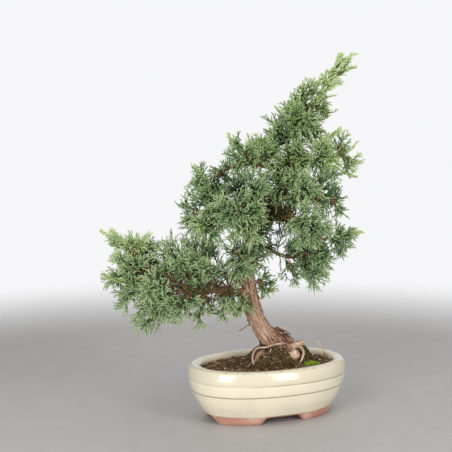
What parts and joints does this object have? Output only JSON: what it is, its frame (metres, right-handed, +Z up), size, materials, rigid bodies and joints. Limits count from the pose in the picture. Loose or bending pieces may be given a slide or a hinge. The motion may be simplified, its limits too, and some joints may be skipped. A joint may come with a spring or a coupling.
{
  "type": "potted juniper bonsai",
  "caption": "Small juniper bonsai with a leaning trunk and feathery green sprays, rooted in a mound of soil in a shallow oval glazed pot on low feet.",
  "frame": {"origin": "on the ground under the feet, at the middle of the whole part's plan, tree and pot together", "axes": "+X along the pot's long side, +Y across it towards the back, +Z up; the tree's own front is turned 21.3 degrees about Z from the pot's front, towards its left end"},
  "size_m": [0.2506, 0.1824, 0.3576],
  "materials": {
    "glaze": "gloss",
    "mesh": "matte",
    "soil": "matte",
    "moss": "matte",
    "bark": "matte",
    "straw": "matte",
    "leaf": "satin"
  },
  "bodies": {
    "root": {"pot": "glaze", "drain_mesh_1": "mesh", "drain_mesh_2": "mesh", "soil": "soil", "moss": "moss", "wood": "bark", "straw": "straw", "foliage_low_left_1": "leaf", "foliage_low_left_2": "leaf", "foliage_low_left_3": "leaf", "foliage_low_left_4": "leaf", "foliage_low_left_5": "leaf", "foliage_low_left_6": "leaf", "foliage_low_left_7": "leaf", "foliage_low_left_8": "leaf", "foliage_low_left_9": "leaf", "foliage_low_left_10": "leaf", "foliage_low_back_1": "leaf", "foliage_low_back_2": "leaf", "foliage_trunk_1": "leaf", "foliage_trunk_2": "leaf", "foliage_trunk_3": "leaf", "foliage_trunk_4": "leaf", "foliage_trunk_5": "leaf", "foliage_trunk_6": "leaf", "foliage_right_low_1": "leaf", "foliage_right_low_2": "leaf", "foliage_right_low_3": "leaf", "foliage_right_hang_1": "leaf", "foliage_right_hang_2": "leaf", "foliage_right_front_1": "leaf", "foliage_mid_left_1": "leaf", "foliage_mid_left_2": "leaf", "foliage_mid_left_3": "leaf", "foliage_mid_front_1": "leaf", "foliage_mid_front_2": "leaf", "foliage_mid_front_3": "leaf", "foliage_mid_back_1": "leaf", "foliage_mid_back_2": "leaf", "foliage_up_left_1": "leaf", "foliage_up_left_2": "leaf", "foliage_up_left_3": "leaf", "foliage_up_left_4": "leaf", "foliage_up_left_5": "leaf", "foliage_up_back_1": "leaf", "foliage_right_mid_1": "leaf", "foliage_right_mid_2": "leaf", "foliage_right_back_1": "leaf", "foliage_right_up_1": "leaf", "foliage_right_up_2": "leaf", "foliage_trunk_7": "leaf", "foliage_trunk_8": "leaf", "foliage_trunk_9": "leaf", "foliage_trunk_10": "leaf", "foliage_trunk_11": "leaf", "foliage_trunk_12": "leaf", "foliage_trunk_13": "leaf", "foliage_trunk_14": "leaf", "foliage_trunk_15": "leaf", "foliage_trunk_16": "leaf"}
  },
  "joints": []
}
